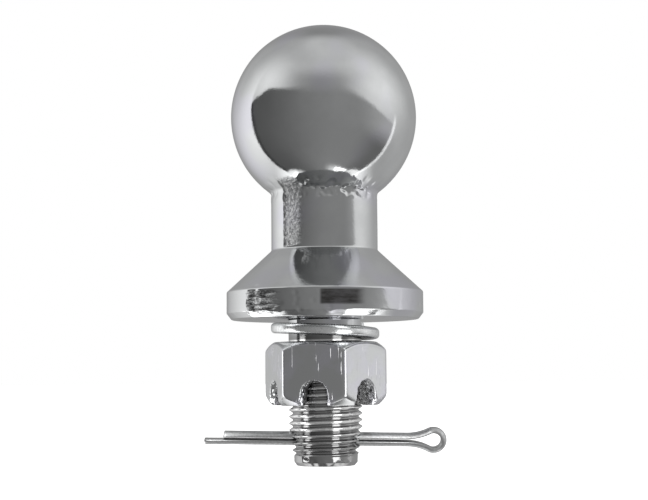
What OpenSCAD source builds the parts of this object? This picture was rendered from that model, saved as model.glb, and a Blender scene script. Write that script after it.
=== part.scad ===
// Bolt-on towing ball, all in millimetres.
// One forging makes the ball, neck, flange and threaded shank. A spring washer,
// a slotted hex nut and a split pin hold it to a drawbar.
// Z = 0 is the flange's underside, +Z runs up the axis to the ball, and the
// split pin lies along X with its eye at +X.

/* [Ball and neck] */
// Diameter of the coupling ball
ball_d = 50.8; // [48:0.1:52]
// Height from the shank's end to the top of the ball
overall_h = 120; // [118:0.5:126]
// Diameter of the neck under the ball
neck_d = 29; // [26:0.5:31]
// Radius where the ball runs into the neck
ball_fillet_r = 1.6; // [0.5:0.1:3]

/* [Flange] */
// Diameter of the flange
flange_d = 53.4; // [50:0.2:58]
// Height of the flange's upright rim, its bottom chamfer included
rim_h = 7.4; // [5:0.1:9]
// Height at which the neck meets the flange's cone
cone_top_z = 18.7; // [14:0.1:22]
// Width of the chamfer round the underside
under_chamfer_w = 1.3; // [0.5:0.1:2]
// Height of the chamfer round the underside
under_chamfer_h = 1.7; // [0.5:0.1:2.5]

/* [Threaded shank] */
// Length of the shank below the flange
shank_l = 39.2; // [38:0.1:45]
// Diameter over the thread's crests
thread_d = 19.85; // [19.4:0.05:19.95]
// Distance between neighbouring thread crests
thread_pitch = 1.8; // [1.5:0.05:2]
// Length of plain shank under the flange
plain_l = 5.6; // [4:0.1:7]
// Diameter over the last crests, which taper towards the shank's end
end_thread_d = 17.7; // [17.2:0.1:18.4]
// Length of the unthreaded end of the shank
pilot_l = 2.5; // [1:0.1:3]
// Distance from the flange's underside to the split pin's hole
hole_drop = 32.1; // [31.5:0.1:33.5]
// Diameter of the split pin's hole
hole_d = 4.3; // [4.3:0.05:4.8]

/* [Spring washer] */
// Outside diameter of the washer
washer_d = 29.4; // [28:0.1:30]
// Bore of the washer
washer_bore = 20.4; // [20.3:0.1:20.8]
// Thickness of the washer's coil
washer_t = 2.85; // [2.5:0.05:2.95]
// Rise of the slack coil from its lower end to its upper end
washer_rise = 2.6; // [2:0.1:2.8]
// Lean of the slack washer to one side
washer_lean = 0.8; // [0:0.1:1]

/* [Slotted nut] */
// Distance across the nut's flats
nut_af = 29.3; // [28.6:0.1:30]
// Height of the nut
nut_h = 17; // [16:0.05:17.5]
// Gap between the flange and the nut, where the slack washer lies
nut_gap = 6.1; // [6:0.05:6.5]
// Angle at which the nut has come to rest
nut_turned = -12; // [-30:0.5:30]
// Depth of the slots in the nut's lower end
slot_depth = 6.7; // [6:0.1:7.5]
// Width of a slot at its round root
slot_root_w = 5.6; // [4:0.1:6]
// Width of a slot at its mouth
slot_mouth_w = 6.7; // [6:0.1:7.5]

/* [Split pin] */
// Diameter of the closed pin
pin_d = 3.8; // [3.8]
// Gap between the pin's two legs
leg_gap = 0.56; // [0.3, 0.34, 0.56]
// Reach of the longer, lower leg from the shank's axis
long_leg = 32.8; // [28:0.1:36]
// Reach of the shorter, upper leg from the shank's axis
short_leg = 27.7; // [24:0.1:28]
// Reach of the eye from the shank's axis
eye_reach = 32.6; // [30:0.1:36]
// Height over the outside of the eye
eye_h = 7.2; // [6.4, 7.2]
// Droop of the pin's eye end in its slack hole
pin_droop = 1.1; // [0:0.1:1.1]
// Turn of the pin about its own length
pin_roll = 8; // [-10:1:10]

/* [Hidden] */
eps = 0.01;
round_fn = 96;

ball_r = ball_d / 2;
neck_r = neck_d / 2;
flange_r = flange_d / 2;
thread_r = thread_d / 2;
ball_z = overall_h - shank_l - ball_r;

// The fillet's circle touches the ball and the neck.
fillet_x = neck_r + ball_fillet_r;
fillet_z = ball_z - sqrt(pow(ball_r + ball_fillet_r, 2) - pow(fillet_x, 2));

// Thread rings: crest, flank, root and flank in every pitch.
thread_depth = 0.55 * thread_pitch;
crest_w = 0.2 * thread_pitch;
pilot_r = end_thread_d / 2 - 0.25;
pilot_end_r = pilot_r - 0.85;
rings = floor((shank_l - plain_l - pilot_l) / thread_pitch);
taper_from = hole_drop - 2.4;
taper_to = shank_l - pilot_l;

running_gap = 0.05;
nut_corner_r = nut_af / 2 / cos(30);
nut_face_r = nut_af / 2 - 0.8;
nut_foot_r = nut_af / 2 - 0.4;
top_chamfer_angle = 37;
foot_chamfer_angle = 45;
bore_chamfer = 0.8;

washer_steps = 40;
washer_end_gap = 6;
washer_start = 36;
washer_clear = 0.05;
washer_w = (washer_d - washer_bore) / 2;
washer_corner = 0.7;
washer_top_x = washer_bore / 2 * cos(washer_start + washer_end_gap);

// The eye is a round bow whose two ends flare out of the legs.
pin_r = pin_d / 2;
wire_t = pin_r - leg_gap / 2;
bow_r = eye_h / 2 - wire_t;
bow_x = eye_reach - eye_h / 2;
flare_r = 14;
flare_angle = acos((flare_r + leg_gap / 2) / (flare_r + bow_r));
flare_x = bow_x - (flare_r + bow_r) * sin(flare_angle);

// Radius over the crests at a depth below the flange.
function crest_r(depth) = lookup(depth, [
    [taper_from, thread_r],
    [taper_from + 1, thread_r - 0.45],
    [taper_to, end_thread_d / 2],
]);

// One ring of thread, as outline points going down the shank.
function ring_points(depth) = [
    [crest_r(depth), -depth],
    [crest_r(depth), -depth - crest_w],
    [crest_r(depth) - thread_depth, -depth - thread_pitch / 2 - crest_w / 2],
];

// Half of the stud's section, right of the axis and under the ball.
function stud_outline() = [
    [0, ball_z],
    [neck_r, ball_z],
    [neck_r, cone_top_z],
    [flange_r, rim_h],
    [flange_r, under_chamfer_h],
    [flange_r - under_chamfer_w, 0],
    [thread_r, 0],
    each [for (i = [0:rings - 1]) each ring_points(plain_l + i * thread_pitch)],
    [pilot_r, -shank_l + pilot_l],
    [pilot_r, -shank_l + 1],
    [pilot_end_r, -shank_l],
    [0, -shank_l],
];

// The hollow fillet between the ball and the neck, with some metal behind it.
module fillet_half() {
    reach = ball_r / (ball_r + ball_fillet_r);
    difference() {
        polygon([
            [neck_r - 3, fillet_z],
            [fillet_x, fillet_z],
            [fillet_x * reach, ball_z + (fillet_z - ball_z) * reach],
            [neck_r - 3, ball_z - ball_r / 2],
        ]);
        translate([fillet_x, fillet_z]) circle(r = ball_fillet_r, $fn = round_fn);
    }
}

module ball_stud() {
    color("silver")
    difference() {
        union() {
            translate([0, 0, ball_z]) sphere(r = ball_r, $fn = round_fn);
            rotate_extrude($fn = round_fn) fillet_half();
            rotate_extrude($fn = round_fn) polygon(stud_outline());
        }
        translate([0, 0, -hole_drop]) rotate([0, 90, 0])
            cylinder(d = hole_d, h = 2 * thread_d, center = true, $fn = 48);
    }
}

// The coil's section, a rectangle with cut corners, about its own middle.
function coil_section() = [
    for (corner = [[1, 1], [-1, 1], [-1, -1], [1, -1]])
        let (x = washer_w / 2 * corner.x, z = washer_t / 2 * corner.y, c = washer_corner)
        each corner.x * corner.y > 0
            ? [[x, z - c * corner.y], [x - c * corner.x, z]]
            : [[x - c * corner.x, z], [x, z - c * corner.y]]
];

// Height of the coil's middle, where it has made this share of its turn.
function coil_z(turn, x) =
    -washer_clear - washer_t / 2 - washer_rise * (1 - turn) - (x - washer_top_x) * tan(washer_lean);

// Every section of the coil, from the lower end round to the upper end.
function coil_points() = [
    for (i = [0:washer_steps])
        let (turn = i / washer_steps,
             angle = washer_start - turn * (360 - washer_end_gap))
        for (p = coil_section())
            let (r = (washer_d + washer_bore) / 4 + p.x,
                 x = r * cos(angle))
            [x, r * sin(angle), coil_z(turn, x) + p.y]
];

module spring_washer() {
    n = len(coil_section());
    sides = [
        for (i = [0:washer_steps - 1], k = [0:n - 1])
            let (a = i * n + k, b = i * n + (k + 1) % n)
            each [[a, b, b + n], [a, b + n, a + n]]
    ];
    lower_end = [for (k = [n - 1:-1:0]) k];
    upper_end = [for (k = [0:n - 1]) washer_steps * n + k];
    color("lightgray")
    polyhedron(coil_points(), concat(sides, [lower_end, upper_end]), convexity = 4);
}

// The ball whose surface domes one end of the nut: it meets that end's flat
// face at face_r, and slopes by angle midway to the corners.
module dome(face_r, angle) {
    r = (face_r + nut_corner_r) / 2 / sin(angle);
    translate([0, 0, nut_h - sqrt(r * r - face_r * face_r)]) sphere(r = r, $fn = 2 * round_fn);
}

module nut_blank() {
    intersection() {
        cylinder(r = nut_corner_r, h = nut_h, $fn = 6);
        dome(nut_face_r, top_chamfer_angle);
        translate([0, 0, nut_h]) mirror([0, 0, 1]) dome(nut_foot_r, foot_chamfer_angle);
    }
}

// A slot's outline, seen from the side with the nut's foot at y = 0.
module slot_outline() {
    root_r = slot_root_w / 2;
    translate([0, slot_depth - root_r]) circle(r = root_r, $fn = 48);
    polygon([
        [-slot_mouth_w / 2, -1],
        [slot_mouth_w / 2, -1],
        [slot_mouth_w / 2, 0],
        [root_r, slot_depth - root_r],
        [-root_r, slot_depth - root_r],
        [-slot_mouth_w / 2, 0],
    ]);
}

module slotted_nut() {
    bore_r = thread_r + running_gap;
    color("gainsboro")
    translate([0, 0, -nut_gap - nut_h]) rotate([0, 0, nut_turned])
    difference() {
        nut_blank();
        translate([0, 0, -1]) cylinder(r = bore_r, h = nut_h + 2, $fn = round_fn);
        translate([0, 0, nut_h - bore_chamfer])
            cylinder(r1 = bore_r, r2 = bore_r + bore_chamfer + eps, h = bore_chamfer + eps,
                     $fn = round_fn);
        for (turn = [30, 90, 150])
            rotate([90, 0, turn + 90])
                linear_extrude(height = 3 * nut_corner_r, center = true) slot_outline();
    }
}

// The wire's section: a half-round whose flat side lies at x = 0.
module wire_section() {
    translate([-leg_gap / 2, 0])
    intersection() {
        circle(r = pin_r, $fn = 48);
        translate([leg_gap / 2, -pin_r]) square([pin_r, pin_d]);
    }
}

// A straight leg from x = from to the flare, with its flat side facing down.
module leg(from) {
    translate([-from, 0, leg_gap / 2]) rotate([90, 0, 90])
        linear_extrude(height = from + flare_x) rotate([0, 0, 90]) wire_section();
}

// The bend that lifts a leg away from the other one.
module flare() {
    translate([flare_x, 0, flare_r + leg_gap / 2]) rotate([90, 0, 0])
    rotate([0, 0, -90])
        rotate_extrude(angle = flare_angle, $fn = round_fn)
            translate([flare_r, 0]) mirror([1, 0]) wire_section();
}

// Half of the eye's bow, from the flare round to the pin's middle plane.
module half_bow() {
    translate([bow_x, 0, 0]) rotate([90, 0, 0])
        rotate_extrude(angle = 90 + flare_angle, $fn = round_fn)
            translate([bow_r, 0]) wire_section();
}

// The part of the wire above the pin's middle plane.
module half_pin(reach) {
    leg(reach);
    flare();
    half_bow();
}

module split_pin() {
    color("darkgray")
    translate([0, 0, -hole_drop]) rotate([pin_roll, pin_droop, 0]) {
        half_pin(short_leg);
        mirror([0, 0, 1]) half_pin(long_leg);
    }
}

ball_stud();
spring_washer();
slotted_nut();
split_pin();
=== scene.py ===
# %% [markdown]
# # A bolt-on towing ball
# The ball, its neck, the cone-shaped flange and the threaded shank are one steel forging, plated bright.
# A slotted nut over a spring washer clamps it to a drawbar, and a split pin through the shank's end stops
# the nut from coming off. The CAD model gives the sizes, the bodies and the joints. Here every piece is
# built again as a finer mesh of the same size, with a real thread, rounded edges and forging marks.

# %% Tools and the frame
import math

import bmesh
import bpy
import numpy as np
from mathutils import Matrix, Vector


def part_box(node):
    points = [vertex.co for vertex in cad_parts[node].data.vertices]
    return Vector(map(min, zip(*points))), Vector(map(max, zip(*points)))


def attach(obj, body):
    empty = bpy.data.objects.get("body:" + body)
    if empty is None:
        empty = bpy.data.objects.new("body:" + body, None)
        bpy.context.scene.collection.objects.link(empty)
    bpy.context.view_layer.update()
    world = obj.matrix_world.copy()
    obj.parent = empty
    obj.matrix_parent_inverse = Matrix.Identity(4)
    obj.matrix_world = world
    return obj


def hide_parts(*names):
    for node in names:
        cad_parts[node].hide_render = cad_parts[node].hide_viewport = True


MM = 0.001
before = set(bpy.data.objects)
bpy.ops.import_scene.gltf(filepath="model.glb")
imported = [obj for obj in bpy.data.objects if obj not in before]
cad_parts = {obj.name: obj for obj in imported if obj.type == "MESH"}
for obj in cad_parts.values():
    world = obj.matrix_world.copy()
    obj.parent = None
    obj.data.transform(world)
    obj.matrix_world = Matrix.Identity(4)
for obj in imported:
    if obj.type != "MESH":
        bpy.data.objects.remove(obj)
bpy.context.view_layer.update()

# %% [markdown]
# The pieces are worked out in millimetres, because that is how a drawing gives them. The heights and
# radii that the CAD model already holds are read from the boxes of its nodes, so the two can't drift apart.

# %% Sizes
stud_low, stud_high = (np.array(corner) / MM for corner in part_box("ball_stud"))
nut_low, nut_high = (np.array(corner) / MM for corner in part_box("slotted_nut"))
SHANK_END, BALL_TOP, FLANGE_R = stud_low[2], stud_high[2], stud_high[0]
BALL_R, NECK_R, THREAD_R, PILOT_R = 25.4, 14.5, 9.925, 8.6
BALL_Z = BALL_TOP - BALL_R
CONE_TOP, RIM_TOP = 18.7, 7.4
THREAD_TOP, THREAD_END, PITCH = -5.6, SHANK_END + 2.5, 1.8
PIN_Z, PIN_DROOP, PIN_ROLL = -32.1, math.radians(1.1), math.radians(8)
NUT_FOOT, NUT_TOP = nut_low[2], nut_high[2]
print("ball centre", round(BALL_Z, 2), "nut from", round(NUT_FOOT, 2), "to", round(NUT_TOP, 2))

# %% [markdown]
# Forged and plated steel is never quite even. A sum of a few slow waves in random directions gives a
# smooth unevenness without a texture. The seed is fixed, so every run makes the same piece.

# %% Unevenness
def smooth_step(value, low, high):
    """0 below low, 1 above high and a smooth rise between them."""
    t = np.clip((value - low) / (high - low), 0, 1)
    return t * t * (3 - 2 * t)


def uneven(points, size, seed, waves=14):
    """A value of about -1 to 1 at each point, which changes over about size millimetres."""
    draw = np.random.default_rng(seed)
    ways = draw.normal(size=(waves, 3))
    ways *= (draw.uniform(0.6, 1.4, (waves, 1)) * 2 * np.pi / size) / np.linalg.norm(ways, axis=1)[:, None]
    return np.sin(points @ ways.T + draw.uniform(0, 2 * np.pi, waves)).sum(axis=-1) / math.sqrt(waves)


# %% [markdown]
# A piece is a list of points and a list of faces. Points that fall on each other, such as those at the
# pole of a turned shape, are merged, so no face is left without area. Every piece rides on the CAD body
# of the same name and takes the place of that body's CAD node, which is hidden.

# %% Making a piece
def piece(name, points, faces, node):
    """A smooth mesh object from points in millimetres."""
    mesh = bpy.data.meshes.new(name)
    mesh.from_pydata((np.asarray(points).reshape(-1, 3)).tolist(), [], [list(map(int, f)) for f in faces])
    made = bmesh.new()
    made.from_mesh(mesh)
    bmesh.ops.remove_doubles(made, verts=made.verts, dist=1e-4)
    bmesh.ops.dissolve_degenerate(made, dist=1e-5, edges=made.edges)
    bmesh.ops.recalc_face_normals(made, faces=made.faces)
    bmesh.ops.scale(made, vec=(MM, MM, MM), verts=made.verts)
    made.to_mesh(mesh)
    open_edges = sum(not e.is_manifold for e in made.edges)
    made.free()
    mesh.shade_smooth()
    thing = bpy.data.objects.new(name, mesh)
    bpy.context.scene.collection.objects.link(thing)
    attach(thing, node)
    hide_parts(node)
    print(name, len(mesh.vertices), "points,", open_edges, "open edges")
    return thing


def grid_faces(rows, columns, first=0, closed=True):
    """Faces between neighbouring rows of points, each row going once round when closed."""
    row = np.arange(rows - 1)[:, None] * columns + first
    here = np.arange(columns if closed else columns - 1)[None, :]
    after = (here + 1) % columns
    return np.stack([row + here, row + columns + here, row + columns + after, row + after], -1).reshape(-1, 4)


# %% [markdown]
# ## The forging
# Everything above the thread is turned about the axis, so it needs only its outline: the ball, the hollow
# fillet below it, the neck, the cone, the rim and the underside. Corners on the outline are rounded with
# small arcs, because a sharp edge would catch no light. The ball and the fillet are exact circles.

# %% The outline
def arc(centre, radius, start, end, step):
    """Points on a circle, from one angle to another in degrees."""
    angles = np.radians(np.linspace(start, end, max(2, int(abs(end - start) / step) + 1)))
    return np.stack([centre[0] + radius * np.cos(angles), centre[1] + radius * np.sin(angles)], 1)


def rounded(corners, radii, step):
    """The path through the corners, with its inner corners rounded and its points at most step apart."""
    corners = np.asarray(corners, float)
    path = [corners[0]]
    for before, corner, after, radius in zip(corners, corners[1:], corners[2:], radii):
        back, on = (before - corner), (after - corner)
        back, on = back / np.linalg.norm(back), on / np.linalg.norm(on)
        half = math.acos(np.clip(back @ on, -1, 1)) / 2
        reach = radius / math.tan(half)
        middle = corner + (back + on) / np.linalg.norm(back + on) * radius / math.sin(half)
        start, end = corner + back * reach - middle, corner + on * reach - middle
        for t in np.linspace(0, 1, 7):
            blend = start * (1 - t) + end * t
            path.append(middle + blend / np.linalg.norm(blend) * radius)
    path.append(corners[-1])
    dense = [path[0]]
    for a, b in zip(path, path[1:]):
        pieces = max(1, int(np.linalg.norm(b - a) / step + 0.999))
        dense += [a + (b - a) * k / pieces for k in range(1, pieces + 1)]
    return np.array(dense)


FILLET_R = 1.6
fillet_x = NECK_R + FILLET_R
fillet_z = BALL_Z - math.sqrt((BALL_R + FILLET_R) ** 2 - fillet_x**2)
touch = math.degrees(math.atan2(fillet_z - BALL_Z, fillet_x))
ball_line = arc((0, BALL_Z), BALL_R, 90, touch, 1.4)
fillet_line = arc((fillet_x, fillet_z), FILLET_R, 180 + touch, 180, 6)
flange_line = rounded(
    [(NECK_R, fillet_z), (NECK_R, CONE_TOP), (FLANGE_R, RIM_TOP), (FLANGE_R, 1.7), (FLANGE_R - 1.3, 0),
     (THREAD_R, 0), (THREAD_R, THREAD_TOP)],
    [0.7, 0.7, 0.5, 0.4, 0.3], 0.4)
end_line = rounded(
    [(PILOT_R, THREAD_END), (PILOT_R, SHANK_END + 1), (PILOT_R - 0.85, SHANK_END), (0, SHANK_END)],
    [0.4, 0.3], 0.4)
outline_points = len(ball_line) + len(fillet_line) + len(flange_line)
print("fillet height", round(fillet_z, 2), "outline points", outline_points)

# %% [markdown]
# ## The thread
# A thread is a groove that climbs as it goes round, so its crests don't lie in level rings. The rows of
# this grid climb with the helix instead, and each row ends on the row one pitch above. That keeps every
# crest and root on an edge of the mesh. Where the helix runs past the top or the bottom of the thread,
# its points are held at that height, and the merge takes away what collapses.

# %% Thread shape
COLUMNS = 360
TURN = np.linspace(0, 2 * np.pi, COLUMNS, endpoint=False)
THREAD_DEPTH = 0.55 * PITCH
CREST_PHASE = -24.35 - PITCH / 2
STEPS = PITCH * np.array([0, 0.06, 0.11, 0.16, 0.27, 0.38, 0.44, 0.5, 0.56, 0.62, 0.73, 0.84, 0.89, 0.94])


def crest_r(z):
    """Radius over the crests, which are worn down towards the shank's end."""
    return np.interp(-z, [29.7, 30.7, -THREAD_END], [THREAD_R, THREAD_R - 0.45, PILOT_R + 0.25])


def thread_wave(z, turn):
    """0 on a crest and 1 in a root, at this height and this angle round the axis."""
    off = np.abs((z - CREST_PHASE - PITCH * turn / (2 * np.pi) + PITCH / 2) % PITCH - PITCH / 2) / PITCH
    return np.clip((off - 0.08) / 0.34, 0, 1)


def thread_r(z, turn):
    """Radius of the threaded shank, which runs out into plain steel at both ends."""
    top_fade = smooth_step(THREAD_TOP - z, 0, 1.6)
    end_fade = smooth_step(z - THREAD_END, 0, 1.0)
    cut = crest_r(z) - THREAD_DEPTH * thread_wave(z, turn) * top_fade
    return PILOT_R + (cut - PILOT_R) * end_fade


turns = int((THREAD_TOP - THREAD_END) / PITCH) + 4
start = CREST_PHASE + PITCH * math.ceil((THREAD_TOP - CREST_PHASE) / PITCH) + PITCH
climb = (start - np.arange(turns)[:, None] * PITCH - STEPS[None, :]).reshape(-1)
thread_z = np.clip(climb[:, None] + PITCH * TURN[None, :] / (2 * np.pi), THREAD_END, THREAD_TOP)
radius = thread_r(thread_z, TURN[None, :])
thread_points = np.stack([radius * np.cos(TURN), radius * np.sin(TURN), thread_z], -1)
rows = len(climb)
i, j = np.meshgrid(np.arange(rows - 1), np.arange(COLUMNS), indexing="ij")
wrap = j == COLUMNS - 1
right = np.where(wrap, np.maximum(i - len(STEPS), 0) * COLUMNS, i * COLUMNS + j + 1)
right_below = np.where(wrap, np.maximum(i + 1 - len(STEPS), 0) * COLUMNS, (i + 1) * COLUMNS + j + 1)
thread_faces = np.stack([i * COLUMNS + j, (i + 1) * COLUMNS + j, right_below, right], -1).reshape(-1, 4)
print("thread:", turns, "turns in", rows, "rows")

# %% [markdown]
# ## Forging marks
# A hammer forging keeps the marks of its die and of scale pressed into it, and the plating follows them.
# On this ball they are at the hollow under the ball and round the rim. Each mark is a small dent with a
# raised lip, given by its angle round the axis, its height, its radius and its depth. One shallow flute
# down the rim is given by its angle, its half width and its depth.

# %% Stud mesh
RIM_MARKS = [
    (-118.5, 2.9, 1.0, 0.20), (-121.0, 2.0, 0.7, 0.16), (-115.5, 3.3, 0.8, 0.18), (-116.5, 1.9, 0.62, 0.14),
    (-106.5, 5.9, 0.62, 0.09), (-105.8, 4.4, 0.62, 0.10), (-106.2, 3.2, 0.62, 0.08), (-96.5, 3.9, 0.62, 0.06),
    (-90.5, 5.9, 0.7, 0.14), (-87.5, 2.4, 0.8, 0.14), (-83.0, 6.4, 0.62, 0.08), (-104.0, 1.6, 0.62, 0.08),
    (-76.0, 3.0, 0.62, 0.07), (-130.0, 4.6, 0.62, 0.09), (-20.0, 3.5, 0.8, 0.10), (35.0, 5.2, 0.7, 0.12),
    (48.0, 2.6, 1.0, 0.14), (112.0, 4.2, 0.62, 0.10), (120.0, 3.0, 0.9, 0.14), (171.0, 5.0, 0.7, 0.10),
]
MARKS_DEEPEN = 1.9
FLUTE = (-133.5, 1.35, 0.30)


def turned(line):
    """Rings of points round the axis, one for every point of the outline."""
    r, z = line.T
    level = np.repeat(z[:, None], COLUMNS, 1)
    return np.stack([np.outer(r, np.cos(TURN)), np.outer(r, np.sin(TURN)), level], -1)


def forged(points):
    """The same rings with the unevenness and the marks of the forging pressed in."""
    x, y, z = np.moveaxis(points, -1, 0)
    r = np.hypot(x, y)
    angle = np.arctan2(y, x)
    push = 0.012 * uneven(points, 16, 3)
    from_fillet = z - fillet_z
    hollow = smooth_step(from_fillet, -2.2, -0.8) * smooth_step(-from_fillet, -4.0, -1.8)
    worst = 0.25 + 0.75 * smooth_step(-y, 7, 12)
    push += hollow * worst * (0.28 * uneven(points, 3.6, 5) + 0.18 * uneven(points, 1.7, 6))
    on_rim = smooth_step(r, FLANGE_R - 1.6, FLANGE_R - 0.5)
    push += on_rim * 0.012 * uneven(points, 3.0, 8)
    flute_turn, flute_w, flute_depth = FLUTE
    push -= on_rim * flute_depth * np.exp(-((FLANGE_R * (angle - math.radians(flute_turn)) / flute_w) ** 2))
    for degrees, height, size, depth in RIM_MARKS:
        across = FLANGE_R * ((angle - math.radians(degrees) + math.pi) % (2 * math.pi) - math.pi)
        far = np.hypot(across, z - height) / size
        push -= on_rim * MARKS_DEEPEN * depth * (np.exp(-(far**2)) - 0.4 * np.exp(-((far - 1.5) ** 2) * 4))
    on_end = smooth_step(THREAD_END - z, 0.3, 0.9) * smooth_step(r, PILOT_R - 2.5, PILOT_R - 0.9)
    push += on_end * 0.07 * uneven(points, 2.6, 11)
    push *= smooth_step(r, 0.2, 3.0)
    push = np.minimum(push, np.where(on_rim > 0, FLANGE_R - r, 0.05))
    scale = 1 + push / np.maximum(r, 1e-6)
    return np.stack([x * scale, y * scale, z], -1)


upper = forged(turned(np.concatenate([ball_line, fillet_line[1:], flange_line[1:]])))
lower = forged(turned(end_line))
stud_points = np.concatenate([upper.reshape(-1, 3), thread_points.reshape(-1, 3), lower.reshape(-1, 3)])
thread_first = upper.shape[0] * COLUMNS
stud_faces = np.concatenate([
    grid_faces(upper.shape[0], COLUMNS),
    thread_faces + thread_first,
    grid_faces(lower.shape[0], COLUMNS, first=thread_first + rows * COLUMNS)])
ball_stud = piece("ball_stud_forging", stud_points, stud_faces, "ball_stud")

# %% [markdown]
# The split pin's hole goes straight across the shank. A Boolean cut is the plain way to drill it. The
# drill is a many-sided bar that is deleted afterwards, and the cut is applied so that the mesh is final.

# %% Drilling the hole
def drill(thing, radius, z):
    """Cuts a round hole along X through the piece."""
    sides = 40
    ring = np.linspace(0, 2 * np.pi, sides, endpoint=False)
    reach = 13
    ends = [np.stack([np.full(sides, x), radius * np.cos(ring), z + radius * np.sin(ring)], 1)
            for x in (-reach, reach)]
    caps = [list(range(sides))[::-1], list(range(sides, 2 * sides))]
    bar = bpy.data.meshes.new("drill")
    walls = [list(map(int, f)) for f in grid_faces(2, sides)]
    bar.from_pydata((np.concatenate(ends) * MM).tolist(), [], walls + caps)
    tool = bpy.data.objects.new("drill", bar)
    bpy.context.scene.collection.objects.link(tool)
    cut = thing.modifiers.new("hole", "BOOLEAN")
    cut.operation, cut.solver, cut.object = "DIFFERENCE", "EXACT", tool
    bpy.context.view_layer.update()
    result = bpy.data.meshes.new_from_object(thing.evaluated_get(bpy.context.evaluated_depsgraph_get()))
    thing.modifiers.clear()
    thing.data = result
    bpy.data.objects.remove(tool)
    sharp = bmesh.new()
    sharp.from_mesh(result)
    for edge in sharp.edges:
        if edge.is_manifold and edge.calc_face_angle() > math.radians(55):
            edge.smooth = False
    sharp.to_mesh(result)
    sharp.free()
    print("drilled:", len(result.vertices), "points")


HOLE_R = 2.15
drill(ball_stud, HOLE_R, PIN_Z)

# %% [markdown]
# ## The spring washer
# It is a bar of spring steel wound into one turn and cut off square, so its two ends stand apart until
# the nut flattens them. One section is carried round the turn while it rises, which is how the real one
# is coiled. Small extra rings near each end round off the cut.

# %% Spring washer
WASHER_R, WASHER_HALF_W, WASHER_HALF_T, WASHER_RISE = 12.45, 2.25, 1.425, 2.6
WASHER_LEAN = math.tan(math.radians(0.8))
WASHER_TOP_X = 10.2 * math.cos(math.radians(42))


def round_bar(half_w, half_t, corner, per_corner=6):
    """A rectangle with round corners, as points in order round it."""
    points = []
    for start, x, z in ((0, 1, 1), (90, -1, 1), (180, -1, -1), (270, 1, -1)):
        centre = (x * (half_w - corner), z * (half_t - corner))
        points.append(arc(centre, corner, start, start + 90, 90 / per_corner))
    return np.concatenate(points)


bar = round_bar(WASHER_HALF_W, WASHER_HALF_T, 1.05)
cuts = [(0, 0), (0, 0.8), (0, 0.93), (0.0025, 1)]
share = np.concatenate([
    [t for t, _ in cuts], np.linspace(0.008, 0.992, 150), [1 - t for t, _ in reversed(cuts)]])
shrink = np.concatenate([[s for _, s in cuts], np.ones(150), [s for _, s in reversed(cuts)]])
angle = np.radians(36 - 354 * share)[:, None]
section_x, section_z = bar[None, :, 0] * shrink[:, None], bar[None, :, 1] * shrink[:, None]
reach = WASHER_R + section_x
coil = np.stack([reach * np.cos(angle), reach * np.sin(angle),
                 -0.05 - WASHER_HALF_T - WASHER_RISE * (1 - share)[:, None] + section_z], -1)
coil[..., 2] -= (coil[..., 0] - WASHER_TOP_X) * WASHER_LEAN
coil[..., 2] += 0.02 * uneven(coil, 7, 21) * smooth_step(1 - share, 0.02, 0.1)[:, None]
spring_washer = piece("spring_washer_coil", coil, grid_faces(len(share), len(bar)),
                      "spring_washer")

# %% [markdown]
# ## The slotted nut
# The nut is a hex bar with both ends domed, six flared slots pressed into its foot and a thread inside.
# Its edges have soft radii that change along their length, which a bevel can't follow. So its shape is
# written as a field, a number that is negative inside the steel and zero on its surface. Steel is the
# smooth largest of its limits, and a slot or a bore is one more limit.

# %% The nut as a field
NUT_AF, NUT_TURN = 29.3, math.radians(-12)
CORNER_R = NUT_AF / 2 / math.cos(math.pi / 6)
FACES = NUT_TURN + math.pi / 6 + math.pi / 3 * np.arange(6)


def smooth_max(limits, soft):
    """The largest of the values, with the change from one to the next rounded by about soft."""
    top = np.maximum.reduce(limits)
    return top + soft * np.log(sum(np.exp((v - top) / soft) for v in limits))


def end_dome(p, up, face_r, slope):
    """The ball that domes the end of the nut at up (its top) or its foot."""
    r = (face_r + CORNER_R) / 2 / math.sin(math.radians(slope))
    depth = math.sqrt(r * r - face_r * face_r)
    centre = NUT_TOP - depth if up else NUT_FOOT + depth
    return np.sqrt(p[..., 0] ** 2 + p[..., 1] ** 2 + (p[..., 2] - centre) ** 2) - r


def slot_limit(across, outward, above):
    """One slot: across its middle plane, outward along it, and above the nut's foot."""
    root_r, root_z, flare = 2.9, 3.5, 0.45
    low = np.clip((root_z - above) / root_z, 0, 1.2)
    wall = np.where(above < root_z, np.abs(across) - root_r - flare * (1 - (1 - low) ** 2),
                    np.hypot(across, above - root_z) - root_r)
    lip = 0.4 + 0.3 * smooth_step(-above, -6, -4) + 1.4 * low**3
    return wall - lip * np.clip(1 - (NUT_AF / 2 - outward) / 1.3, 0, 1.6)


def nut_bore(p):
    """Radius of the threaded bore and its countersinks."""
    turn = np.arctan2(p[..., 1], p[..., 0])
    thread = 10.05 - 0.85 * np.clip((0.5 - thread_wave(p[..., 2], turn)) * -2.4 + 0.8, 0, 1)
    return np.maximum.reduce([thread, 10.9 - (NUT_TOP - p[..., 2]), 10.6 - (p[..., 2] - NUT_FOOT)])


def nut_field(p, rough=0.0):
    """Negative inside the nut's steel, in millimetres."""
    x, y, z = p[..., 0], p[..., 1], p[..., 2]
    flats = [x * math.cos(a) + y * math.sin(a) - NUT_AF / 2 for a in FACES]
    blank = smooth_max(flats + [end_dome(p, True, 13.85, 37), end_dome(p, False, 14.25, 45)], 0.2)
    blank = smooth_max([blank, z - NUT_TOP, NUT_FOOT - z], 0.06)
    slots = []
    for a in FACES:
        outward = x * math.cos(a) + y * math.sin(a)
        wall = slot_limit(y * math.cos(a) - x * math.sin(a), outward, z - NUT_FOOT)
        slots.append(np.where(outward > 0, -wall, -50.0) + rough)
    return smooth_max([blank, (nut_bore(p) - np.hypot(x, y)) * 0.9] + slots, 0.09)


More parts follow.
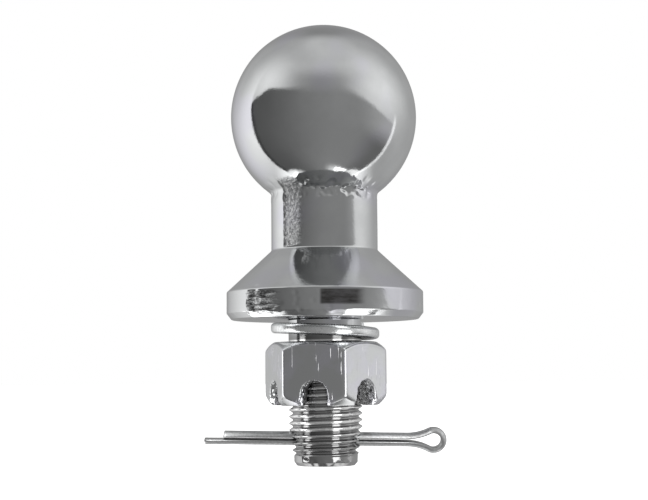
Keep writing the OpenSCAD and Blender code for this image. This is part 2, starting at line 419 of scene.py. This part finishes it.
# %% [markdown]
# To turn the field into a mesh, it is read at the corners of small cells. A cell whose corners disagree
# holds a piece of the surface and gets one point, and four such cells round an edge make a face. This
# way of working is called surface nets. Each point is then slid along the field's slope until it lies
# exactly on the surface, so the flats come out flat and the edges evenly round.

# %% Nut mesh
def surface_net(field, low, high, cell):
    """Points and faces of the surface where the field is zero, inside a box."""
    axes = [np.arange(a, b + cell, cell) for a, b in zip(low, high)]
    shape = [len(a) for a in axes]
    inside = np.empty(shape, bool)
    for k, x in enumerate(axes[0]):
        slab = np.stack(np.broadcast_arrays(x, axes[1][:, None], axes[2][None, :]), -1)
        inside[k] = field(slab) < 0
    corners = sum(inside[a:shape[0] - 1 + a, b:shape[1] - 1 + b, c:shape[2] - 1 + c].astype(np.int8)
                  for a in (0, 1) for b in (0, 1) for c in (0, 1))
    held = (corners > 0) & (corners < 8)
    number = -np.ones(held.shape, int)
    number[held] = np.arange(held.sum())
    points = np.array(low) + (np.argwhere(held) + 0.5) * cell
    faces = []
    for axis in range(3):
        near = [slice(1, -1)] * 3
        near[axis] = slice(0, -1)
        ahead = list(near)
        ahead[axis] = slice(1, None)
        a, b = inside[tuple(near)], inside[tuple(ahead)]
        for way, crossing in ((1, a & ~b), (-1, ~a & b)):
            at = np.argwhere(crossing)
            at += [0 if k == axis else 1 for k in range(3)]
            u, v = np.eye(3, dtype=int)[(axis + 1) % 3], np.eye(3, dtype=int)[(axis + 2) % 3]
            ring = [at - u - v, at - v, at, at - u][::way]
            faces.append(np.stack([number[tuple(q.T)] for q in ring], 1))
    return points, np.concatenate(faces)


def settle(points, field, rounds=5):
    """Slides points along the field's slope on to its surface."""
    step = 0.01
    for _ in range(rounds):
        slope = np.stack([(field(points + d) - field(points - d)) / (2 * step) for d in np.eye(3) * step], -1)
        value = field(points)
        move = value[:, None] * slope / np.maximum((slope**2).sum(1), 0.2)[:, None]
        points = points - move * np.minimum(1, 0.12 / np.maximum(np.linalg.norm(move, axis=1), 1e-9))[:, None]
    return points


NUT_CELL = 0.17
nut_points, nut_faces = surface_net(nut_field, nut_low - 0.4, nut_high + 0.4, NUT_CELL)


def rough_nut_field(p):
    """The nut with its slots left rough, as the press leaves them."""
    return nut_field(p, rough=0.09 * uneven(p, 1.5, 31) + 0.05 * uneven(p, 0.8, 32))


nut_points = settle(settle(nut_points, nut_field), rough_nut_field, rounds=3)
slotted_nut = piece("slotted_nut_body", nut_points, nut_faces, "slotted_nut")

# %% [markdown]
# ## The split pin
# A length of half-round wire is folded back on itself round a mandrel, which makes the eye, and the two
# flat sides close on each other. The ends are sheared off, one shorter than the other so that they can be
# prised apart. The wire's flat side follows one line in the pin's plane: leg, flare, bow, flare, leg.

# %% Split pin
LEG_GAP, WIRE_R, FLARE_R = 0.28, 1.9, 14.0
LONG_LEG, SHORT_LEG, BOW_X = 32.8, 27.7, 29.0
wire_t = WIRE_R - LEG_GAP
BOW_R = 3.6 - wire_t
flare_turn = math.degrees(math.acos((FLARE_R + LEG_GAP) / (FLARE_R + BOW_R)))
flare_x = BOW_X - (FLARE_R + BOW_R) * math.sin(math.radians(flare_turn))


def line_to(a, b, step):
    """Points along a straight stretch."""
    count = max(2, int(abs(b[0] - a[0]) / step))
    return np.stack([np.linspace(a[0], b[0], count), np.linspace(a[1], b[1], count)], 1)


centre_line = np.concatenate([
    line_to((-LONG_LEG, -LEG_GAP), (flare_x, -LEG_GAP), 0.7),
    arc((flare_x, -FLARE_R - LEG_GAP), FLARE_R, 90, 90 - flare_turn, 2)[1:],
    arc((BOW_X, 0), BOW_R, -90 - flare_turn, 90 + flare_turn, 4)[1:],
    arc((flare_x, FLARE_R + LEG_GAP), FLARE_R, flare_turn - 90, -90, 2)[1:],
    line_to((flare_x, LEG_GAP), (-SHORT_LEG, LEG_GAP), 0.7)[1:]])
along = np.gradient(centre_line, axis=0)
along /= np.linalg.norm(along, axis=1)[:, None]
outward = np.stack([along[:, 1], -along[:, 0]], 1)

chord = math.degrees(math.asin(LEG_GAP / WIRE_R))
dome = arc((0, -LEG_GAP), WIRE_R, chord, 180 - chord, 8)
flat = np.stack([np.linspace(dome[-1, 0], dome[0, 0], 10)[1:-1], np.zeros(8)], 1)
half_round = np.concatenate([dome, flat])
for _ in range(2):
    half_round = (np.roll(half_round, 1, 0) + 2 * half_round + np.roll(half_round, -1, 0)) / 4
heart = np.array([0, 0.75])
print("wire section:", len(half_round), "points, flare", round(flare_turn, 1), "degrees")

# %% Pin mesh
tips = [(0.0, 0.0), (0.0, 0.8), (0.03, 0.93), (0.14, 1.0)]
slants = (0.12, -0.16)
stations = [(0, d, s, slants[0]) for d, s in tips]
last = len(centre_line) - 1
stations += [(k, 0.0, 1.0, slants[0] * (k < 4) + slants[1] * (k > last - 4)) for k in range(1, last)]
stations += [(-1, -d, s, slants[1]) for d, s in reversed(tips)]
pin_rings = []
for k, inward, size, slant in stations:
    ring = heart + (half_round - heart) * size
    x = centre_line[k, 0] + outward[k, 0] * ring[:, 1] + along[k, 0] * (inward + slant * ring[:, 1])
    z = centre_line[k, 1] + outward[k, 1] * ring[:, 1] + along[k, 1] * inward
    pin_rings.append(np.stack([x, ring[:, 0], z], 1))
pin_points = np.array(pin_rings)
pin_points[..., 2] += 0.015 * uneven(pin_points, 9, 41)
lie = Matrix.Rotation(PIN_DROOP, 3, "Y") @ Matrix.Rotation(PIN_ROLL, 3, "X")
pin_points = pin_points @ np.array(lie).T + (0, 0, PIN_Z)
pin_low, pin_high = (np.array(corner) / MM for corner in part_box("split_pin"))
pin_points = np.clip(pin_points, pin_low, pin_high)
split_pin = piece("split_pin_wire", pin_points, grid_faces(len(stations), len(half_round)),
                  "split_pin")

# %% [markdown]
# ## Shader tools
# A material is a tree of nodes. Written out node by node it is hard to read, so a small class stands for
# one output socket and takes part in ordinary arithmetic, and one method makes any other node.

# %% Signals and trees
class Signal:
    """One output of a node. Arithmetic on it adds Math nodes to its tree."""

    def __init__(self, tree, socket):
        self.tree, self.socket = tree, socket

    def maths(self, operation, *values):
        return self.tree.node("ShaderNodeMath", {"operation": operation}, dict(enumerate(values)))

    def __add__(self, other):
        return self.maths("ADD", self, other)

    def __sub__(self, other):
        return self.maths("SUBTRACT", self, other)

    def __rsub__(self, other):
        return self.maths("SUBTRACT", other, self)

    def __mul__(self, other):
        return self.maths("MULTIPLY", self, other)

    def __truediv__(self, other):
        return self.maths("DIVIDE", self, other)

    def __pow__(self, power):
        return self.maths("POWER", self, power)

    __radd__, __rmul__ = __add__, __mul__

    def above(self, other):
        return self.maths("GREATER_THAN", self, other)

    def size(self):
        return self.maths("ABSOLUTE", self)

    def rise(self, low, high, start=0.0, end=1.0):
        """A smooth change from start at low to end at high."""
        return self.tree.node("ShaderNodeMapRange", {"interpolation_type": "SMOOTHSTEP"}, {
            "Value": self, "From Min": low, "From Max": high, "To Min": start, "To Max": end})

    def bump_at(self, centre, width):
        """1 at centre, falling smoothly to 0 at width away from it."""
        return (self - centre).size().rise(0.0, width, 1.0, 0.0)


class Tree:
    """The nodes of a material or of the world."""

    def __init__(self, owner):
        owner.use_nodes = True
        self.nodes, self.links = owner.node_tree.nodes, owner.node_tree.links
        self.nodes.clear()

    def node(self, kind, settings=None, sockets=None, out=0):
        """Makes a node: its type, its settings first, then its sockets. Returns one of its outputs."""
        made = self.nodes.new(kind)
        for key, value in (settings or {}).items():
            setattr(made, key, value)
        for key, value in (sockets or {}).items():
            if isinstance(value, Signal):
                self.links.new(value.socket, made.inputs[key])
            else:
                made.inputs[key].default_value = value
        return Signal(self, made.outputs[out]) if len(made.outputs) else made

    def parts(self, vector):
        """The x, y and z of a vector."""
        made = self.node("ShaderNodeSeparateXYZ", sockets={"Vector": vector}).socket.node
        return [Signal(self, made.outputs[k]) for k in range(3)]

    def stretched(self, vector, x, y, z):
        return self.node("ShaderNodeVectorMath", {"operation": "MULTIPLY"}, {0: vector, 1: (x, y, z)})

    def noise(self, vector, scale, detail=2.0, roughness=0.5):
        return self.node("ShaderNodeTexNoise", {"noise_dimensions": "3D"},
                         {"Vector": vector, "Scale": scale, "Detail": detail, "Roughness": roughness})

    def mixed(self, factor, a, b):
        """Colour a where the factor is 0 and b where it is 1."""
        made = self.nodes.new("ShaderNodeMix")
        made.data_type = "RGBA"
        for key, value in ((0, factor), (6, a), (7, b)):
            if isinstance(value, Signal):
                self.links.new(value.socket, made.inputs[key])
            else:
                made.inputs[key].default_value = value
        return Signal(self, made.outputs[2])

    def bump(self, height, distance, strength=1.0, under=None):
        """Turns a height, in shares of distance, into a normal."""
        sockets = {"Height": height, "Distance": distance, "Strength": strength}
        if under is not None:
            sockets["Normal"] = under
        return self.node("ShaderNodeBump", sockets=sockets)

    def metal(self, colour, roughness, normal):
        """Bare or plated metal, as the tree's surface."""
        shader = self.node("ShaderNodeBsdfPrincipled", sockets={
            "Base Color": colour, "Metallic": 1.0, "Roughness": roughness, "Normal": normal})
        self.node("ShaderNodeOutputMaterial", sockets={"Surface": shader})


def grey(level, tint=(1.0, 1.0, 1.0)):
    return (*(level * t for t in tint), 1.0)


COOL = (0.985, 1.0, 1.005)
LAVENDER = (0.985, 0.985, 1.05)

# %% [markdown]
# ## Finishes
# All four pieces are bright zinc or chrome plated steel, so their colour is a pale grey metal and their
# looks are in the roughness and in the smallest unevenness. A polished ball, a forged rim, a machined
# thread and a drawn wire scatter light differently. Every pattern is laid out in millimetres of the
# piece itself, so it stays on the piece when the piece moves. The forging's masks pick out its parts by
# height, by distance from the axis and by the turn round it in degrees. Three of them paint light and shade
# into the colour: painted glints and dark specks in a bumpy strip up the neck, dark streaks on the rim, and a
# dark patch on the rim.

# %% Plated forging
def plated(name):
    """Starts a finish: its tree and the piece's own coordinates in millimetres."""
    material = bpy.data.materials.new(name)
    tree = Tree(material)
    place = tree.node("ShaderNodeTexCoord", out="Object")
    place = tree.stretched(place, 1 / MM, 1 / MM, 1 / MM)
    return material, tree, place


forging, tree, place = plated("bright plated forging")
x, y, z = tree.parts(place)
turn = x.maths("ARCTAN2", x, y * -1.0) * (180 / math.pi)
radius = (x * x + y * y) ** 0.5
cloud = tree.noise(place, 0.11, 3.0)
fine = tree.noise(place, 2.2, 4.0, 0.6)
peel = tree.noise(place, 1.25, 3.0, 0.65)

on_ball = z.rise(fillet_z + 1.5, fillet_z + 4)
on_neck = z.rise(CONE_TOP + 0.2, CONE_TOP + 0.9) * (1 - on_ball)
on_rim = radius.rise(FLANGE_R - 0.9, FLANGE_R - 0.4) * (1 - z.rise(RIM_TOP - 0.9, RIM_TOP - 0.2))
on_thread = 1 - z.rise(-5.5, -0.5)
# The strip up the neck where glints and dark specks are painted in the colour, over real bumps.
painted_sparkle_strip = on_neck * turn.rise(-48.5, -46) * turn.rise(-38, -20, 1.0, 0.0)
# Dark streaks painted on the rim, with bumps along them.
streaks = on_rim * turn.rise(-51, -49) * turn.rise(-33, -24, 1.0, 0.0)
# A dark patch painted on the rim, which is also made rougher.
dark_rim_patch = on_rim * turn.rise(-3.5, -1.5) * turn.rise(17, 24, 1.0, 0.0) * z.rise(2.6, 3.4)
print("finish made:", forging.name)

# %% [markdown]
# The masks now drive the surface. The noise is centred on zero before it becomes a bump, so a mask's
# edge doesn't turn into a slope. The shank isn't polished, so it is rougher. Its plain part below the
# flange is painted dark as shade between the washer and the nut, and the roots of its thread are painted
# darker still as shade, against crests painted bright as highlight.

# %% Forging surface
roughness = (cloud.rise(0.3, 0.7, 0.05, 0.09) + on_rim * 0.03 + on_thread * 0.07
             + painted_sparkle_strip * 0.04 + dark_rim_patch * 0.1)
normal = tree.bump(fine, 0.00001, 0.35)
normal = tree.bump((peel - 0.5) * (painted_sparkle_strip + 0.01), 0.0010, 1.0, normal)
lines = tree.noise(tree.stretched(place, 0.28, 0.28, 1.15), 1.0, 4.0, 0.6)
normal = tree.bump((lines - 0.5) * streaks, 0.0005, 1.0, normal)
colour = tree.mixed(cloud.rise(0.35, 0.65), grey(0.60, COOL), grey(0.65, COOL))
colour = tree.mixed(tree.noise(place, 0.07, 1.0).rise(0.5, 0.68), colour, grey(0.62, LAVENDER))
# A dark patch painted on the rim.
colour = tree.mixed(dark_rim_patch * lines.rise(0.3, 0.65, 1.0, 0.8), colour, grey(0.09, (1.04, 1.0, 0.97)))
# Dark streaks painted on the rim.
colour = tree.mixed(streaks * lines.rise(0.42, 0.55, 0.85, 0.0), colour, grey(0.08))
# A dark line painted down the neck at the strip's left edge, as a painted dark reflection.
colour = tree.mixed(on_neck * turn.bump_at(-46.5, 3.0) * 0.8, colour, grey(0.10))
# Painted highlight and shade: light glints and dark specks in the neck strip.
colour = tree.mixed(painted_sparkle_strip * peel.rise(0.50, 0.62, 0.0, 0.7), colour, grey(0.95))
colour = tree.mixed(painted_sparkle_strip * peel.rise(0.38, 0.48, 0.6, 0.0), colour, grey(0.15))
# The thread's roots are painted dark as shade and its crests bright as highlight; the worn noise is random
# wear.
root = 1 - radius.rise(THREAD_R - 0.85, THREAD_R - 0.25)
worn = tree.noise(place, 0.9, 4.0, 0.7).rise(0.45, 0.75)
thread_colour = tree.mixed(root * 0.8, grey(0.97), grey(0.26))
thread_colour = tree.mixed(worn * 0.5, thread_colour, grey(0.45))
# The plain shank below the flange is painted dark as shade.
colour = tree.mixed(on_thread, colour, grey(0.22))
colour = tree.mixed(z.rise(-5.9, -5.4, 1.0, 0.0), colour, thread_colour)
tree.metal(colour, roughness, normal)
ball_stud.data.materials.clear()
ball_stud.data.materials.append(forging)

# %% [markdown]
# The spring washer is rolled steel with a bright plate, rougher than the ball. A grain of about a
# millimetre varies its brightness and its roughness together, as worn plating does.

# %% Washer finish
washer_finish, tree, place = plated("bright plated spring steel")
grain = tree.noise(place, 1.4, 4.0, 0.6)
tree.metal(tree.mixed(grain.rise(0.4, 0.75), grey(0.92, COOL), grey(0.7)),
           grain.rise(0.3, 0.7, 0.22, 0.3), tree.bump(grain, 0.00003, 0.2))
spring_washer.data.materials.append(washer_finish)
print("finish made:", washer_finish.name)

# %% [markdown]
# The nut's flats carry a few upright scratches from the die that pressed it. Inside the slots the steel is
# rough, and its colour is painted darker as shade. The distance from the axis tells the two apart, so no
# image mask is needed.

# %% Nut finish
nut_finish, tree, place = plated("satin plated nut")
x, y, z = tree.parts(place)
cloud = tree.noise(place, 0.16, 3.0)
grain = tree.noise(place, 2.0, 4.0, 0.65)
scratch = tree.noise(tree.stretched(place, 2.6, 2.6, 0.09), 1.0, 1.0).rise(0.64, 0.72) * cloud.rise(0.42, 0.6)
from_axis = (x * x + y * y) ** 0.5
across_flat = tree.noise(place, 1.1, 4.0, 0.7)
hidden = 1 - from_axis.rise(12.2, 13.6)
colour = tree.mixed(cloud.rise(0.4, 0.65), grey(0.62, COOL), grey(0.66, LAVENDER))
colour = tree.mixed(scratch, colour, grey(0.9))
# Painted shade: the inside of the slots is darker.
colour = tree.mixed(hidden * across_flat.rise(0.3, 0.6, 0.5, 1.0), colour, grey(0.24))
normal = tree.bump((across_flat - 0.5) * hidden + grain * 0.04, 0.0003, 0.8)
tree.metal(colour, cloud.rise(0.3, 0.7, 0.14, 0.22) + hidden * 0.1, tree.bump(scratch, 0.00006, 0.8, normal))
slotted_nut.data.materials.append(nut_finish)
print("finish made:", nut_finish.name)

# %% [markdown]
# The pin is drawn wire, with fine lines along its length. The narrow gap between its legs is in deep shade,
# so the flat sides are painted nearly black as shade wherever both legs run together.

# %% Pin finish
wire_finish, tree, place = plated("drawn pin wire")
flat_way = lie @ Vector((0, 0, 1))
from_split = tree.node("ShaderNodeVectorMath", {"operation": "DOT_PRODUCT"}, {0: place, 1: flat_way},
                       out="Value")
# Between the legs the flat sides are painted nearly black as shade.
split = (from_split - PIN_Z * flat_way.z).size().rise(0.30, 0.46, 1.0, 0.0)
along_x = tree.parts(place)[0]
split = split * along_x.rise(flare_x - 2.5, flare_x + 1.5, 1.0, 0.0)
split = split * along_x.rise(-SHORT_LEG, 0.4 - SHORT_LEG)
along_wire = tree.noise(tree.stretched(place, 0.15, 3.0, 3.0), 1.0, 3.0)
grain = tree.noise(place, 1.6, 4.0, 0.6)
wire_colour = tree.mixed(grain.rise(0.35, 0.7), grey(0.64, COOL), grey(0.50))
tree.metal(tree.mixed(split, wire_colour, grey(0.03)),
           grain.rise(0.3, 0.7, 0.3, 0.42),
           tree.bump(along_wire, 0.0001, 0.5, tree.bump(grain, 0.00006, 0.5)))
split_pin.data.materials.append(wire_finish)
print("finish made:", wire_finish.name)

# %% [markdown]
# ## Light
# Bright metal shows its surroundings, so the surroundings are the lighting. Small plated parts are lit in
# a white tent with a dark opening in front. The tent is written into the world as a brightness for every
# direction. The camera itself sees plain white behind the object, as with a lit backdrop.

# %% The light tent
scene = bpy.context.scene
scene.world = bpy.data.worlds.new("light tent")
tree = Tree(scene.world)
direction = tree.node("ShaderNodeTexCoord", out="Generated")
x, y, z = tree.parts(direction)
side = x.maths("ARCTAN2", x, y * -1.0) * (180 / math.pi)
height = z.maths("ARCSINE", z) * (180 / math.pi)

# The tent's cloth: a wall on the left, a lamp's glow on each side, and a softer crown overhead.
left_wall = side.rise(-168, -102) * height.bump_at(-15, 66) * 0.75
right_lobe = side.bump_at(82, 62) * height.bump_at(26, 58) * 0.58
left_lobe = side.bump_at(-82, 56) * height.bump_at(30, 40) * 0.58
hollow = side.bump_at(-8, 62) * height.bump_at(33, 26) * 0.15
near_zenith = height.rise(58, 84)
crown = near_zenith * 0.20 + side.bump_at(10, 150) * height.rise(36, 60) * (1 - near_zenith) * 0.18
far_back = side.size().rise(138, 176) * (1 - near_zenith) * 0.17
around = 0.50 - far_back + left_wall * side.rise(-101, -96, 1.0, 0.0)
around = around + right_lobe + left_lobe - hollow + crown
# The dark opening in front: how dark it is, where its top edge runs and how soft that edge is.
opening = side.rise(-95, 20, 0.12, 0.31) + side.rise(40, 90, 0.0, 0.22) * height.rise(-30, -8, -0.6, 1.0)
opening = opening - side.bump_at(-97, 6) * 0.06
top_edge = side.rise(15, 102, 27.0, -5.0) - side.rise(-101, -72, 13.0, 0.0)
softness = 1.5 + side.bump_at(5, 75) * 8.0
above_opening = ((height - top_edge) / softness).rise(-1, 1)
foot_edge = -56.0 - side.bump_at(0, 100) * 55.0
in_opening = (side.rise(-100, -98.5) * side.rise(95, 97, 1.0, 0.0) * (1 - above_opening)
              * (height - foot_edge).rise(-2, 2))
in_opening = in_opening + (1 - in_opening) * height.rise(-80, -66, 0.9, 0.0)
# A lit seam at the opening's right edge, and the light that comes up from the table.
edge_line = side.bump_at(98.5, 3.5) * height.rise(-6, 6, 1.0, 0.0) * 0.8
below = height.bump_at(-60, 20) * side.size().rise(60, 85) * 0.9
tent = around + edge_line + below
tent = tent + (opening - tent) * in_opening
tent = tent + side.bump_at(40, 45) * height.bump_at(-78, 14) * 1.2
# What the camera sees directly is the white backdrop.
seen = tree.node("ShaderNodeLightPath", out="Is Camera Ray")
strength = tent + (1.0 - tent) * seen
background = tree.node("ShaderNodeBackground", sockets={"Color": (1.0, 1.0, 1.0, 1.0), "Strength": strength})
tree.node("ShaderNodeOutputWorld", sockets={"Surface": background})
print("tent nodes:", len(tree.nodes))

# %% [markdown]
# The floor is a plain pale sheet under the shank's end. It doesn't show in the plating, which would turn
# the dark opening white from below, so it is left out of glossy reflections.

# %% Floor and soft light
floor_mesh = bpy.data.meshes.new("floor")
reach, level = 6.0, SHANK_END * MM - 0.0001
corners = [(x * reach, y * reach, level) for x, y in ((-1, -1), (1, -1), (1, 1), (-1, 1))]
floor_mesh.from_pydata(corners, [], [(0, 1, 2, 3)])
floor = bpy.data.objects.new("floor", floor_mesh)
scene.collection.objects.link(floor)
floor.visible_glossy = False
pale = bpy.data.materials.new("pale floor")
tree = Tree(pale)
sheet = tree.node("ShaderNodeBsdfPrincipled", sockets={
    "Base Color": (0.9, 0.9, 0.9, 1.0), "Roughness": 0.9, "Specular IOR Level": 0.0,
    "Emission Color": (1.0, 1.0, 1.0, 1.0), "Emission Strength": 0.85})
tree.node("ShaderNodeOutputMaterial", sockets={"Surface": sheet})
floor_mesh.materials.append(pale)

overhead = bpy.data.lights.new("overhead softbox", "AREA")
overhead.shape, overhead.size, overhead.size_y, overhead.energy = "RECTANGLE", 0.6, 0.6, 1.2
lamp = bpy.data.objects.new("overhead softbox", overhead)
scene.collection.objects.link(lamp)
lamp.location = (0, 0, 0.7)
lamp.visible_camera = False
lamp.visible_glossy = False

# %% [markdown]
# Two narrow lit cards stand close beside the shank, low down. They draw the bright columns on the thread
# and the bright lines along the nut's corners. Standing this close, they are mostly hidden from the ball
# by the flange, which leaves a small glint at its foot. The camera doesn't see them.

# %% Side cards
def side_card(name, azimuth, distance, wide, low, high, brightness):
    """A lit card at this azimuth from the front, upright between two heights, all in millimetres."""
    card = bpy.data.lights.new(name, "AREA")
    card.shape, card.size, card.size_y = "RECTANGLE", wide * MM, (high - low) * MM
    card.energy = brightness * math.pi * card.size * card.size_y
    stand = bpy.data.objects.new(name, card)
    scene.collection.objects.link(stand)
    a = math.radians(azimuth)
    out = Vector((math.sin(a), -math.cos(a), 0))
    stand.location = (out * distance + Vector((0, 0, (low + high) / 2))) * MM
    stand.rotation_euler = out.to_track_quat("Z", "Y").to_euler()
    stand.visible_camera = False
    print(name, "energy", round(card.energy, 5))


side_card("left card", -66, 34, 10.5, SHANK_END, -4, 2.6)
side_card("right card", 33, 34, 14, SHANK_END, -4, 2.6)

# %% [markdown]
# ## Camera
# The camera stands about 0.4 m in front, a little below the flange, and looks slightly up with a
# moderately long lens, so the underside of the flange is just hidden.

# %% Camera
lens = bpy.data.cameras.new("camera")
lens.lens, lens.sensor_width, lens.clip_start, lens.clip_end = 81.06, 36.0, 0.01, 50.0
camera = bpy.data.objects.new("camera", lens)
scene.collection.objects.link(camera)
tilt = Matrix.Rotation(math.radians(95.04), 4, "X") @ Matrix.Rotation(math.radians(-0.43), 4, "Z")
camera.matrix_world = Matrix.Translation((-0.00014, -0.3968, -0.016)) @ tilt
scene.camera = camera
scene.view_settings.view_transform = "Standard"

# %% [markdown]
# The last cell brings the scene up to date.

# %% Update
bpy.context.view_layer.update()
